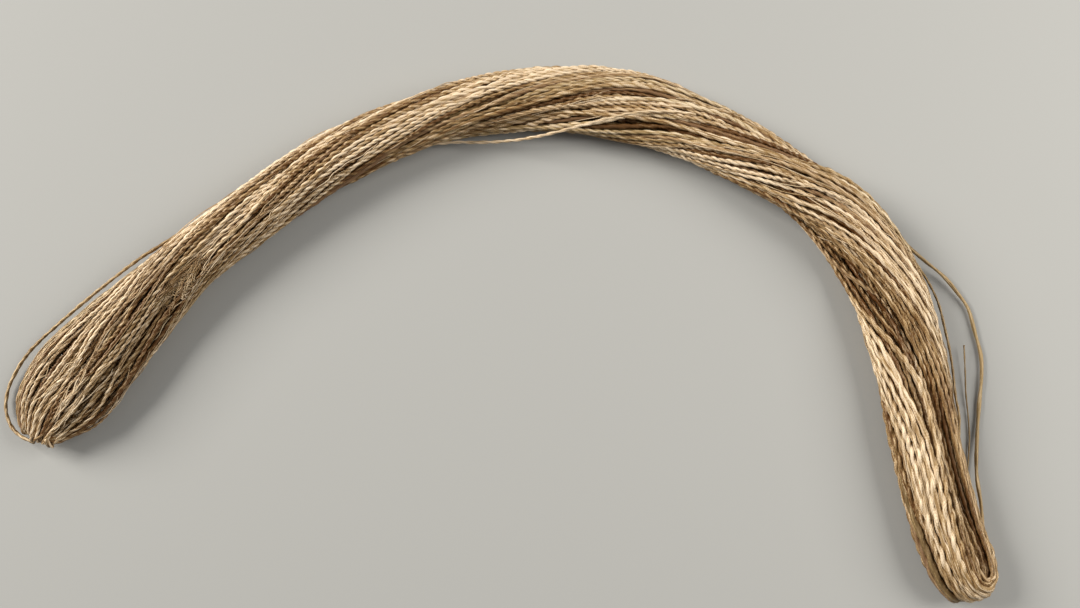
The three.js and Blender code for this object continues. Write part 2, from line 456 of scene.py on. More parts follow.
@dataclass
class Bundle:
    """The form of the whole hank: its route, its sections and its twist.

    The rows' columns are x, y, width, height, turn of the main groove in degrees up from the outer
    side, and the groove's depth as a share of the half size. The hank's two legs lie on either side
    of that groove.
    """

    rows: tuple[tuple[float, ...], ...] = (
        (-88.2, -23.2, 20.4, 8.8, 506, 0.0),
        (-85.9, -17.9, 20.0, 9.2, 506, 0.05),
        (-82.2, -12.9, 19.4, 9.4, 506, 0.08),
        (-77.5, -6.9, 18.3, 9.6, 503, 0.1),
        (-72.1, -0.3, 15.9, 9.6, 496, 0.12),
        (-66.5, 6.0, 13.6, 9.7, 486, 0.12),
        (-60.8, 11.8, 12.0, 9.8, 474, 0.12),
        (-48.4, 22.0, 11.8, 9.9, 447, 0.12),
        (-35.6, 31.3, 11.9, 9.9, 418, 0.12),
        (-21.5, 38.7, 12.1, 9.8, 390, 0.12),
        (-6.3, 43.7, 12.7, 9.6, 358, 0.13),
        (9.6, 45.5, 13.9, 9.4, 321, 0.14),
        (25.5, 44.2, 15.7, 9.2, 284, 0.15),
        (40.6, 38.6, 13.8, 9.6, 248, 0.17),
        (54.6, 30.8, 13.9, 10.0, 208, 0.28),
        (67.2, 21.2, 15.4, 10.2, 173, 0.34),
        (75.5, 7.6, 15.2, 9.8, 138, 0.38),
        (79.6, -7.8, 14.3, 9.4, 95, 0.4),
        (81.7, -23.7, 13.5, 9.1, 68, 0.42),
        (84.8, -39.3, 13.4, 8.8, 62, 0.38),
        (86.8, -46.0, 13.4, 8.6, 60, 0.28),
        (88.4, -53.0, 13.4, 8.4, 60, 0.2),
    )
    axis_height: float = 0.44  # as a share of the section's height
    left_cap: float = 15.0  # length over which the left end is rounded off
    left_share_at_end: float = 0.42  # how much of its full size is left there
    groove_spread: float = 0.3  # half width of the groove, as the sine of its angle
    groove_gain: float = 1.6  # the yarn's own groove is deeper than the solid's
    uneven_legs: float = 0.36  # how far the groove lies off the axis on the looped arm
    uneven_from: Pair = (203.0, 240.0)  # distances between which it moves there
    evener_tip: float = 0.3  # the share of it that is lost again towards the right end
    compared: int = 240  # how many of the route's points a point is set against

    def __post_init__(self) -> None:
        """Works out the route's length and the table from distance to share of the way."""
        table = np.array(self.rows)
        blank = np.zeros((len(table), 1))
        self.route = Curve(np.hstack([table[:, :2], blank]))
        self.sizes = Curve(np.hstack([table[:, 2:4], blank]))
        self.twists = Curve(np.hstack([table[:, 4:6], blank]))
        self.shares = np.linspace(0, 1, 2001)  # fine enough to read distances from
        self.reach = lengths_along(self.route.at(self.shares))
        self.length = float(self.reach[-1])

    def stations(self, distance: np.ndarray) -> Stations:
        """Returns the cross-sections at the given distances from the left end.

        Args:
            distance: distances in an array of any shape.

        Returns:
            The cross-sections, with arrays of the distances' shape.
        """
        flat = distance.ravel()
        share = np.interp(flat, self.reach, self.shares)
        middle = self.route.at(share)[:, :2]
        step = 1e-4
        beyond = self.route.at(np.minimum(share + step, 1))
        before = self.route.at(np.maximum(share - step, 0))
        along = (beyond - before)[:, :2]
        along /= np.linalg.norm(along, axis=1, keepdims=True)
        past = np.minimum(flat, 0) + np.maximum(flat - self.length, 0)
        middle = middle + along * past[:, None]
        outer = np.stack([-along[:, 1], along[:, 0]], axis=1)
        size, twist = self.sizes.at(share), self.twists.at(share)
        shape = distance.shape
        return Stations(
            middle=middle.reshape(shape + (2,)),
            outer=outer.reshape(shape + (2,)),
            width=size[:, 0].reshape(shape),
            height=size[:, 1].reshape(shape),
            turn=np.radians(twist[:, 0]).reshape(shape),
            groove=twist[:, 1].reshape(shape),
        )

    def left_share(self, distance: np.ndarray) -> np.ndarray:
        """Returns how much of its full size the bundle has near its left end.

        It follows a quarter of an ellipse down to the share that is left at the end.

        Args:
            distance: distances from the left end.

        Returns:
            The shares, one for each distance.
        """
        missing = 1 - np.clip(distance / self.left_cap, 0, 1)
        return np.maximum(np.sqrt(1 - missing**2), self.left_share_at_end)

    def outwardness(self, points: np.ndarray) -> np.ndarray:
        """Returns how far points lie towards the arch's outer side, from -1 at its inner edge to 1.

        Each point is set against the nearest of the route's points.

        Args:
            points: points as rows of coordinates.

        Returns:
            One number for each point.
        """
        here = self.stations(np.linspace(0, self.length, self.compared))
        apart = points[:, None, :2] - here.middle[None]
        nearest = (apart**2).sum(2).argmin(1)
        offset = apart[np.arange(len(points)), nearest]
        return (offset * here.outer[nearest]).sum(1) / (here.width[nearest] / 2)

    def outline(self, from_groove: np.ndarray, groove: np.ndarray) -> np.ndarray:
        """Returns the section's radius as a share of the half size: one, less the two main grooves."""
        across = np.sin(from_groove) / self.groove_spread
        return 1 - self.groove_gain * groove * np.exp(-(across**2))

    def with_uneven_legs(
        self, here: Stations, offsets: np.ndarray, half: np.ndarray, distance: np.ndarray
    ) -> np.ndarray:
        """Returns offsets from the axis once the inner leg is widened and the outer leg narrowed.

        With u the distance from the groove's plane as a share of its largest value at the same
        place along the groove, u grows by the lean on the inner side and shrinks by it on the
        outer side, and the lean is then taken away from it, so that the outline stays.

        Args:
            here: the cross-sections.
            offsets: the strands' offsets outward and upward, as stations, strands and two.
            half: the half sizes of the cross-sections.
            distance: the stations' distances from the left end.

        Returns:
            The moved offsets, in an array of the same shape.
        """
        passed = (distance - self.uneven_from[0]) / (self.uneven_from[1] - self.uneven_from[0])
        lean = (self.uneven_legs * np.sin(np.clip(passed, 0, 1) * math.pi / 2) ** 2)[:, None]
        lean *= 1 - self.evener_tip * np.clip(passed - 1, 0, 1)[:, None]
        scaled = offsets / half[:, None]
        cosine, sine = np.cos(here.turn)[:, None], np.sin(here.turn)[:, None]
        along = scaled[..., 0] * cosine + scaled[..., 1] * sine
        off = scaled[..., 1] * cosine - scaled[..., 0] * sine
        most = np.sqrt(np.clip(1 - along**2, 0.01, 1))
        off += lean * (np.abs(off) - most)
        return np.stack([along * cosine - off * sine, along * sine + off * cosine], axis=2) * half[:, None]

    def place(self, here: Stations, outward: np.ndarray, upward: np.ndarray) -> np.ndarray:
        """Returns the points at the given offsets from the bundle's axis.

        Args:
            here: the cross-sections.
            outward: distance from the axis towards the outer side.
            upward: height above the axis.

        Returns:
            The points, with their coordinates in the last dimension.
        """
        flat = here.middle + here.outer * outward[..., None]
        height = self.axis_height * here.height + upward
        return np.concatenate([flat, height[..., None]], axis=-1)


@dataclass(frozen=True)
class Layer:
    """One layer of yarns round the bundle's axis."""

    name: str
    strands: int
    radius: float  # distance from the axis as a share of the half size
    sides: int  # corners of a yarn's section
    rings_a_turn: float  # rings of the mesh in one turn of the plies
    pieces: int
    shade: float  # by how much its tone is lowered, a painted shade on the layers further in
    fanned: Pair  # its yarns' thickness at the left end and at the fan's neck, as shares


RIGHT_ARM = 60.0  # x beyond which a point lies on the looped right arm
LEGS_DOWN: Pair = (-4.0, 20.0)  # values of -y between which the arm's two legs come to differ
TIP_DOWN: Pair = (30.0, 45.0)  # values of -y between which that arm's tip grows darker, a painted shade


@dataclass(frozen=True)
class Loop:
    """One wound loop of yarn. Each array has one entry for each of its points."""

    line: np.ndarray
    along: np.ndarray  # unit directions
    side: np.ndarray  # unit vectors across it
    reach: np.ndarray  # distances from its first point

    def looped_legs(self) -> tuple[np.ndarray, np.ndarray]:
        """Returns how far the points belong to the right arm's inner leg and to its outer leg.

        Both are shares from 0 to 1, which grow down the arm. The first half of the points runs in
        the inner leg, and the rest in the outer one.

        Returns:
            The two shares, one of each for every point.
        """
        x, y, _ = self.line.T
        looped = share_passed(-y, LEGS_DOWN) * (x > RIGHT_ARM)
        inner = np.arange(len(x)) < len(x) / 2
        return looped * inner, looped * ~inner


@dataclass(frozen=True)
class Habit:
    """How the yarns' twist, thickness and colour change along the hank, by x, and from loop to loop.

    Waves are random and run along a loop, and a spread is drawn once for each loop. A higher tone
    is paler.
    """

    pitch: Profile = Profile(((-60.0, 3.5), (-10.0, 4.0), (60.0, 4.2), (85.0, 6.6)))
    pitch_waves: Waves = ((60.0, 0.12), (23.0, 0.12), (9.0, 0.1))
    pitch_spread: Pair = (0.88, 1.12)
    tightest_pitch: float = 0.9  # the tightest loop's pitch, as a share
    looser_pitch: float = 0.5  # by how much the slackest loop's is longer
    swell_waves: Waves = ((47.0, 0.07), (19.0, 0.06), (7.0, 0.06))
    swell_spread: Pair = (0.86, 1.1)
    looser_swell: float = 0.1  # by how much the slackest loop is thicker
    arm_swell: float = 0.93  # thickness between the fan and the looped right arm, as a share
    waist: Profile = Profile(((-60.0, 0.0), (20.0, -0.04), (60.0, -0.04), (85.0, -0.01)))
    waist_waves: Waves = ((31.0, 0.04), (11.0, 0.03))
    waist_limits: Pair = (0.2, 0.43)
    looser_waist: float = 0.1  # by how much the slackest loop's waist is wider
    # how strongly the plies are marked by colour, the crease by a painted shade, by x
    marks: Profile = Profile(((-40.0, 3.4), (10.0, 2.2), (60.0, 1.6), (85.0, 1.1)))
    tone_waves: Waves = ((50.0, 0.35), (17.0, 0.2))
    tone_spread: Profile = Profile(((-50.0, 2.3), (30.0, 1.2), (80.0, 1.0)))
    tone: Profile = Profile(
        ((-90.0, -0.15), (-60.0, 0.05), (-35.0, 0.25), (0.0, 0.2), (25.0, 0.4), (80.0, 0.4))
    )
    # painted shade on the layers further in, by x
    layer_shade: Profile = Profile(((-80.0, 0.15), (-45.0, 1.4), (20.0, 1.4), (50.0, 2.0), (80.0, 1.0)))
    # painted light: how much paler the arch's outer side is, by x
    outer_light: Profile = Profile(((-80.0, 0.2), (-55.0, 1.5), (-20.0, 1.0), (20.0, 0.3)))
    # painted shade on the looped right arm's outer leg
    outer_leg_shade: float = 0.9
    tip_shade: float = 0.5  # painted shade at the tip of the looped right arm
    mesh_density: Profile = Profile(((1.2, 0.55), (2.6, 1.0)))  # by height, with fewer rings on the underside
    uneven_plies: Pair = (-0.1, 0.16)  # how much further one ply reaches than the other
    grain_start: Pair = (0.0, 5000.0)  # where its fibre pattern starts
    lowest: float = 0.02  # least height of a yarn's surface

    def swell_along(self, layer: Layer) -> Profile:
        """Returns the thickness of a layer's yarns by x, as a share of the full one.

        Args:
            layer: the layer.

        Returns:
            The profile.
        """
        end, neck = layer.fanned
        arm = self.arm_swell
        return Profile(((-86.0, end), (-62.0, neck), (-35.0, arm), (60.0, arm), (75.0, 1.0)))


@dataclass
class Winding:
    """The yarns of the hank: where each runs in the bundle, and how it turns back at the two ends.

    Half of a layer's strands lie in one leg, and each of them goes round the looped right end and
    comes back as its partner in the other leg, mirrored at the main groove.
    """

    bundle: Bundle
    yarn: Yarn = Yarn(thickness=1.02)
    habit: Habit = Habit()
    layers: tuple[Layer, ...] = (
        Layer("outer", 36, 1.0, 12, 11, 4, -0.2, (0.64, 0.76)),
        Layer("second", 28, 0.83, 10, 7, 2, 1.2, (0.64, 0.76)),
        Layer("third", 22, 0.66, 8, 5, 1, 2.2, (1.05, 0.95)),
        Layer("fourth", 14, 0.46, 6, 4, 1, 3.0, (1.05, 0.95)),
        Layer("inner", 8, 0.27, 5, 3, 1, 3.0, (1.05, 0.95)),
    )
    first_station: float = 0.8  # distance of the first cross-section from the left end
    station_count: int = 112
    own_waves: Waves = ((150.0, 0.13), (70.0, 0.09), (33.0, 0.04))  # how far a strand strays by itself
    shared_waves: tuple[Pair, ...] = ((3, 0.05), (5, 0.05), (8, 0.045), (11, 0.03))  # counts and heights
    shared_lengths: Pair = (90.0, 160.0)
    fan_waves: Waves = ((26.0, 0.045), (15.0, 0.02))
    fan_length: float = 50.0  # length of the fanned left end
    fan_fade: float = 20.0  # length over which it ends
    depth_waves: Waves = ((110.0, 0.08), (45.0, 0.05))
    steadier: float = 0.75  # by how much less the strands beside the parted legs' groove stray
    steadier_within: float = 0.5  # as the sine of their angle from the groove
    spacing: float = 0.88  # distance below which the middles of two yarns are pushed apart
    relax_rounds: int = 45
    push_share: float = 0.42  # share of the missing distance by which each yarn moves in a round
    longest_push: float = 0.22
    loose_from: Pair = (3.0, 11.0)  # distances between which the strands become free to move
    resting: float = 0.56  # least height of a yarn's middle, as a share of its thickness
    fuller_inner: float = 0.3  # by how much the inner leg's yarns are thicker on the looped right arm
    finer_outer: float = 0.08  # by how much the outer leg's are thinner there
    legs_apart: float = 1.0  # half the distance that the legs keep on the looped right arm
    outer_radius: float = 0.75  # radius share from which a strand keeps the whole of it
    inner_apart: float = 0.45  # share of it that the strands further in keep
    apart_from: Pair = (168.0, 190.0)  # distances between which the legs part
    closer_tip: float = 0.5  # the share of legs_apart that is lost again towards the right end
    closer_from: Pair = (198.0, 230.0)  # distances between which it is lost
    right_turn: float = 10.0  # length over which the outermost loop turns back
    eye_inset: float = 4.0  # distance from the hank's right end to the eye of its loops
    least_approach: float = 0.1  # least length of a loop's straight way to its turn
    least_tuck: float = 0.35  # height above the axis that is taken for strands that lie lower
    tuck_height: Pair = (0.9, 1.5)  # half height of a bend at the left end, as a share of that height
    tuck_reach: Pair = (0.1, 1.2)  # how far a bend reaches out, as a share of its half height
    tuck_scatter: float = 0.9  # how far the bends stray sideways
    tuck_narrowing: float = 0.3  # by how much a bend is nearer the middle on the underside, as a share
    point_count: int = 660

    def strand_angles(self) -> tuple[np.ndarray, np.ndarray, np.ndarray]:
        """Returns each strand's angle from the groove, radius share and layer, partners side by side.

        Returns:
            The angles in radians, the radius shares and the layers' numbers.
        """
        angles, radii, members = [], [], []
        for number, layer in enumerate(self.layers):
            half = layer.strands // 2
            angle = (np.arange(half) + 0.5) * TAU / layer.strands
            angles.append(np.stack([angle, -angle], axis=1).ravel())
            radii.append(np.full(layer.strands, layer.radius))
            members.append(np.full(layer.strands, number))
        return np.concatenate(angles), np.concatenate(radii), np.concatenate(members)

    def wandering(self, rng: np.random.Generator, angle: np.ndarray, distance: np.ndarray) -> np.ndarray:
        """Returns how far each strand strays round the bundle, in radians.

        A strand strays by itself in slow waves, to which shorter ones are added in the fanned left
        end, and together with its neighbours in waves that run round the bundle, which gathers the
        strands into groups.

        Args:
            rng: the source of random numbers.
            angle: the strands' angles from the groove.
            distance: the stations' distances from the left end.

        Returns:
            The angles, as an array of strands and stations.
        """
        own = slow_noise(rng, len(angle), distance, self.own_waves)
        shared = np.zeros_like(own)
        for count, size in self.shared_waves:
            for length in self.shared_lengths:
                phase = rng.uniform(0, TAU)
                shared += size * np.sin(count * angle[:, None] + TAU * distance[None] / length + phase)
        fan = np.clip((self.fan_length - distance) / self.fan_fade, 0, 1)
        return own + shared + fan * slow_noise(rng.spawn(1)[0], len(angle), distance, self.fan_waves)

    def planned(
        self, rng: np.random.Generator, here: Stations, half: np.ndarray, distance: np.ndarray
    ) -> np.ndarray:
        """Returns where the strands would lie if they took no room.

        A strand's offset is its radius share, a little uneven, times the outline's radius at its
        angle and times the half size, and its angle is its own, plus the turn, plus its straying.

        Args:
            rng: the source of random numbers.
            here: the cross-sections.
            half: their half sizes, less half the yarn's thickness.
            distance: their distances from the left end.

        Returns:
            Offsets outward and upward from the axis, as an array of stations, strands and two.
        """
        angle, radius, _ = self.strand_angles()
        parted = share_passed(distance, self.apart_from)
        beside = np.exp(-((np.sin(angle)[None] / self.steadier_within) ** 2))
        keep = 1 - self.steadier * parted[:, None] * beside
        strayed = angle[None] + self.wandering(rng, angle, distance).T * keep
        depth = slow_noise(rng, len(angle), distance, self.depth_waves).T
        size = radius[None] * (1 + depth) * self.bundle.outline(strayed, here.groove[:, None])
        turned = strayed + here.turn[:, None]
        return np.stack([size * np.cos(turned), size * np.sin(turned)], axis=2) * half[:, None]

    def pushes(self, place: np.ndarray, closest: np.ndarray, loose: np.ndarray) -> np.ndarray:
        """Returns by how much the strands are pushed by those that lie too close.

        A neighbour at a distance g below the closest one c pushes straight away from itself by
        push_share * (c - g), and the sum of a strand's pushes is cut to the longest one.

        Args:
            place: the strands' offsets, as stations, strands and two.
            closest: the least distance of each two strands, as stations, strands and strands.
            loose: how free the strands are to move, for each station.

        Returns:
            The pushes outward and upward, as stations, strands and two.
        """
        itself = 1e3 * np.eye(place.shape[1])[None]  # keeps a strand from pushing itself
        tiny = 1e-6
        apart = (place[:, :, None] - place[:, None]).astype(np.float32)
        gap = np.sqrt((apart**2).sum(3)) + itself + tiny
        missing = np.clip(closest - gap, 0, None)
        push = (apart * (missing / gap)[..., None]).sum(2) * self.push_share
        length = np.linalg.norm(push, axis=2, keepdims=True) + 1e-9
        return loose * push * np.minimum(1, self.longest_push / length)

    def packed(self, rng: np.random.Generator) -> tuple[np.ndarray, np.ndarray]:
        """Works out where the strands lie in the bundle's sections.

        In each round strands that lie too close are pushed apart, the push is evened out along the
        hank, what leaves the outline goes back to it, the two legs keep their distance from the
        groove, and nothing goes below the surface that the hank lies on. Some strands still press
        into their neighbours a little.

        Args:
            rng: the source of random numbers.

        Returns:
            The stations' distances, and the strands' offsets outward and upward from the axis as an
            array of stations, strands and two.
        """
        angle, radius, _ = self.strand_angles()
        distance = np.linspace(self.first_station, self.bundle.length - self.right_turn, self.station_count)
        here = self.bundle.stations(distance)
        share = self.bundle.left_share(distance)
        half = np.stack([here.width, here.height], axis=1) * share[:, None] / 2 - self.yarn.thickness / 2
        start = self.planned(rng, here, half, distance)
        parted = share_passed(distance, self.apart_from)
        leg = np.sign(np.sin(angle))[None]
        closest = self.spacing * (1 + self.fuller_inner * parted[:, None] * (leg > 0))
        closest = ((closest[:, :, None] + closest[:, None]) / 2).astype(np.float32)
        closer = 1 - self.closer_tip * share_passed(distance, self.closer_from)
        legs_apart = self.legs_apart * parted * closer
        apart_least = legs_apart[:, None] * np.where(radius > self.outer_radius, 1.0, self.inner_apart)
        lowest = self.resting * self.yarn.thickness * (1 + self.fuller_inner * parted)
        lowest = lowest - self.bundle.axis_height * here.height
        loose = share_passed(distance, self.loose_from)[:, None, None]
        sine, cosine = np.sin(here.turn)[:, None], np.cos(here.turn)[:, None]
        shift = np.zeros_like(start)
        for _ in range(self.relax_rounds):
            shift += self.pushes(start + shift, closest, loose)
            shift = softened(shift, 1, 0)
            place = start + shift
            scaled = place / half[:, None]
            reach = np.linalg.norm(scaled, axis=2) + 1e-9
            bearing = np.arctan2(scaled[..., 1], scaled[..., 0]) - here.turn[:, None]
            limit = self.bundle.outline(bearing, here.groove[:, None])
            place *= np.minimum(1, limit / reach)[..., None]
            off_groove = (place[..., 1] * cosine - place[..., 0] * sine) * leg
            short = np.maximum(0, apart_least - off_groove) * leg
            place += np.stack([-sine * short, cosine * short], axis=2)
            place[..., 1] = np.maximum(place[..., 1], lowest[:, None])
            shift = place - start
        place = self.bundle.with_uneven_legs(here, start + softened(shift, 2, 0), half, distance)
        place[..., 1] = np.maximum(place[..., 1], lowest[:, None])
        return distance, place

    def right_end(self, offsets: np.ndarray, steps: int = 25, approach_steps: int = 6) -> np.ndarray:
        """Returns the loops round the right end, nested round their eye.

        With q the distance from the groove's plane as a share of the half size, and w half the
        difference between the q of a loop's two legs, the loop's q is the legs' mean + w * cos(t),
        and it is w * right_turn * (1 - sin(t)) short of its tip, where t runs from 0 in one leg to
        half a turn in the other. A tip lies eye_inset * (1 - w) short of the hank's end.

        Args:
            offsets: the strands' offsets at the last station, partners side by side.
            steps: how many points the turn has.
            approach_steps: how many points each of the two straight ways to it has.

        Returns:
            Points as an array of loops, steps and coordinates.
        """
        last = self.bundle.length - self.right_turn
        here = self.bundle.stations(np.array([last]))
        half = np.array([here.width[0], here.height[0]]) / 2 - self.yarn.thickness / 2
        scaled = offsets / half
        cosine, sine = math.cos(here.turn[0]), math.sin(here.turn[0])
        along_groove = scaled[:, 0] * cosine + scaled[:, 1] * sine
        off_groove = -scaled[:, 0] * sine + scaled[:, 1] * cosine
        one, other = off_groove[0::2, None], off_groove[1::2, None]
        wide = np.abs(one - other) / 2
        turn = np.linspace(0, math.pi, steps)[None]
        straight = np.linspace(0, 1, approach_steps + 1)[None, :-1]
        tip = self.bundle.length - self.eye_inset * (1 - wide)
        begin = tip - self.right_turn * wide
        arc = begin + self.right_turn * wide * np.sin(turn)
        approach = last + (np.maximum(begin, last + self.least_approach) - last) * straight
        distance = np.concatenate([approach, arc, approach[:, ::-1]], axis=1)
        turning = (one + other) / 2 + (one - other) / 2 * np.cos(turn)
        there, back = np.broadcast_to(one, approach.shape), np.broadcast_to(other, approach.shape)
        q = np.concatenate([there, turning, back], axis=1)
        mix = np.linspace(0, 1, q.shape[1])[None]
        p = along_groove[0::2, None] * (1 - mix) + along_groove[1::2, None] * mix
        ring = self.bundle.stations(distance)
        half_wide = ring.width / 2 - self.yarn.thickness / 2
        half_high = ring.height / 2 - self.yarn.thickness / 2
        outward = half_wide * (p * np.cos(ring.turn) - q * np.sin(ring.turn))
        upward = half_high * (p * np.sin(ring.turn) + q * np.cos(ring.turn))
        lowest = self.yarn.thickness / 2 - self.bundle.axis_height * ring.height
        return self.bundle.place(ring, outward, np.maximum(upward, lowest))

    def left_tucks(self, rng: np.random.Generator, offsets: np.ndarray, steps: int = 12) -> np.ndarray:
        """Returns the short bends by which the strands turn under at the pinched left end.

        A bend is half an ellipse in the upright plane along the hank, from below the axis to the
        strand's own height, and strays sideways in the middle.

        Args:
            rng: the source of random numbers.
            offsets: the strands' offsets at the first station.
            steps: how many points a bend has, with the one at the first station.

        Returns:
            Points as an array of strands, steps and coordinates, from the underside up to just
            before the first station.
        """
        count = len(offsets)
        turn = np.linspace(math.pi, 0, steps)[None]
        bend = np.clip(offsets[:, 1:], self.least_tuck, None) * rng.uniform(*self.tuck_height, (count, 1))
        forward = rng.uniform(*self.tuck_reach, (count, 1))
        distance = self.first_station - bend * forward * np.sin(turn)
        upward = bend * np.cos(turn) + (offsets[:, 1:] - bend) * (0.5 + 0.5 * np.cos(turn))
        drawn_in = offsets[:, :1] * (1 - self.tuck_narrowing * np.sin(turn / 2))
        outward = drawn_in + rng.normal(0, self.tuck_scatter, (count, 1)) * np.sin(turn)
        return self.bundle.place(self.bundle.stations(distance), outward, upward)[:, :-1]

    def paths(self, rng: np.random.Generator) -> tuple[np.ndarray, np.ndarray]:
        """Returns the line of each loop and the layer that it belongs to.

        Args:
            rng: the source of random numbers.

        Returns:
            Points as an array of loops, points and coordinates, and the layers' numbers.
        """
        member = self.strand_angles()[2]
        distance, offsets = self.packed(rng)
        here = self.bundle.stations(distance[:, None] + np.zeros((1, offsets.shape[1])))
        legs = self.bundle.place(here, offsets[..., 0], offsets[..., 1]).transpose(1, 0, 2)
        legs = np.concatenate([self.left_tucks(rng, offsets[0]), legs], axis=1)
        ends = self.right_end(offsets[-1])
        lines = np.concatenate([legs[0::2], ends[:, 1:-1], legs[1::2, ::-1]], axis=1)
        even = np.stack([evenly_spaced(line, self.point_count) for line in lines])
        return softened(even, 3, 1), member[0::2]

    def build(self, rng: np.random.Generator, material: bpy.types.Material) -> list[bpy.types.Object]:
        """Builds the yarns, in a few pieces for each layer, and the loose fibres on them.

        Args:
            rng: the source of random numbers.
            material: the yarn's finish.

        Returns:
            The pieces.
        """
        lines, member = self.paths(rng)
        along = directions(lines)
        loops = [Loop(*arrays) for arrays in zip(lines, along, side_vectors(along), lengths_along(lines))]
        pieces = []
        for number, layer in enumerate(self.layers):
            members = np.flatnonzero(member == number)
            for part, chosen in enumerate(np.array_split(members, layer.pieces)):
                surface = Surface()
                for loop in chosen:
                    self.add_loop(surface, rng, layer, loops[loop])
                name = f"yarn_turns_{layer.name}" + (f"_{part + 1}" if layer.pieces > 1 else "")
                pieces.append(finish_piece(surface.to_object(name, material), "abaca_yarn", "hank"))
        pieces.append(LooseFibres().build(rng, lines[member == 0], material))
        return pieces

    def loop_swell(self, rng: np.random.Generator, layer: Layer, loop: Loop, slack: float) -> np.ndarray:
        """Returns a loop's thickness at its points, as a share of the yarn's.

        Args:
            rng: the source of random numbers.
            layer: the loop's layer.
            loop: the loop.
            slack: how slack it is, from 0 to 1.

        Returns:
            One share for each point.
        """
        habit = self.habit
        swell = 1 + slow_noise(rng, 1, loop.reach, habit.swell_waves)[0]
        swell *= rng.uniform(*habit.swell_spread) + habit.looser_swell * slack
        swell *= habit.swell_along(layer).at(loop.line[:, 0])
        inner, outer = loop.looped_legs()
        return swell * (1 + inner * self.fuller_inner - outer * self.finer_outer)

    def loop_tone(self, rng: np.random.Generator, layer: Layer, loop: Loop) -> np.ndarray:
        """Returns a loop's three tones at its points.

        The first one is paler on the arch's outer side, a painted light, and darker in the layers
        further in, in the outer leg of the looped right arm and at that arm's tip, a painted shade.

        Args:
            rng: the source of random numbers.
            layer: the loop's layer.
            loop: the loop.

        Returns:
            The tones, as an array of points and three.
        """
        habit = self.habit
        x, y, _ = loop.line.T
        tone = np.tile(rng.uniform(-1, 1, 3), (len(x), 1))
        tone[:, 0] *= habit.tone_spread.at(x)
        tone[:, 0] += slow_noise(rng, 1, loop.reach, habit.tone_waves)[0]
        tone[:, 0] += habit.tone.at(x)
        # painted shade on the layers further in
        tone[:, 0] -= layer.shade * habit.layer_shade.at(x)
        tip = share_passed(-y, TIP_DOWN)
        # painted shade on the looped arm's outer leg and at its tip
        tone[:, 0] -= habit.outer_leg_shade * loop.looped_legs()[1] + habit.tip_shade * tip
        # painted light on the arch's outer side
        tone[:, 0] += self.bundle.outwardness(loop.line) * habit.outer_light.at(x)
        return tone

    def add_loop(self, surface: Surface, rng: np.random.Generator, layer: Layer, loop: Loop) -> None:
        """Adds one loop of yarn to a surface.

        The plies' pitch is short in the left arm and long in the right leg. There are fewer rings
        on the side that lies on the surface.

        Args:
            surface: where the loop goes.
            rng: the source of random numbers.
            layer: the loop's layer.
            loop: the loop.
        """
        habit = self.habit
        x, _, z = loop.line.T
        slack = rng.uniform(0, 1) ** 2
        noise = slow_noise(rng, 1, loop.reach, habit.pitch_waves)[0]
        pitch = habit.pitch.at(x) * (habit.tightest_pitch + habit.looser_pitch * slack)
        pitch = pitch * rng.uniform(*habit.pitch_spread) * (1 + noise)
        swell = self.loop_swell(rng, layer, loop, slack)
        uneven = slow_noise(rng, 1, loop.reach, habit.waist_waves)[0]
        waist = habit.waist.at(x) + (self.yarn.waist + habit.looser_waist * slack + uneven)
        tone = self.loop_tone(rng, layer, loop)
        step = np.gradient(loop.reach)
        lay = Lay(
            line=loop.line,
            along=loop.along,
            side=loop.side,
            turns=np.cumsum(step / pitch) + rng.uniform(0, 1),
            density=layer.rings_a_turn * habit.mesh_density.at(z) * step / pitch,
            swell=swell,
            waist=np.clip(waist, *habit.waist_limits),
            marks=habit.marks.at(x),
            tone=tone,
        )
        rings, grain, tones = self.yarn.sweep(lay, layer.sides, rng.uniform(*habit.uneven_plies))
        rings[..., 2] = np.maximum(rings[..., 2], habit.lowest)
        grain[..., 2] += rng.uniform(*habit.grain_start)
        surface.add_tube(rings, grain, tones)


# ---------------------------------------------------------------------------------------------
# Loose fibres
# ---------------------------------------------------------------------------------------------


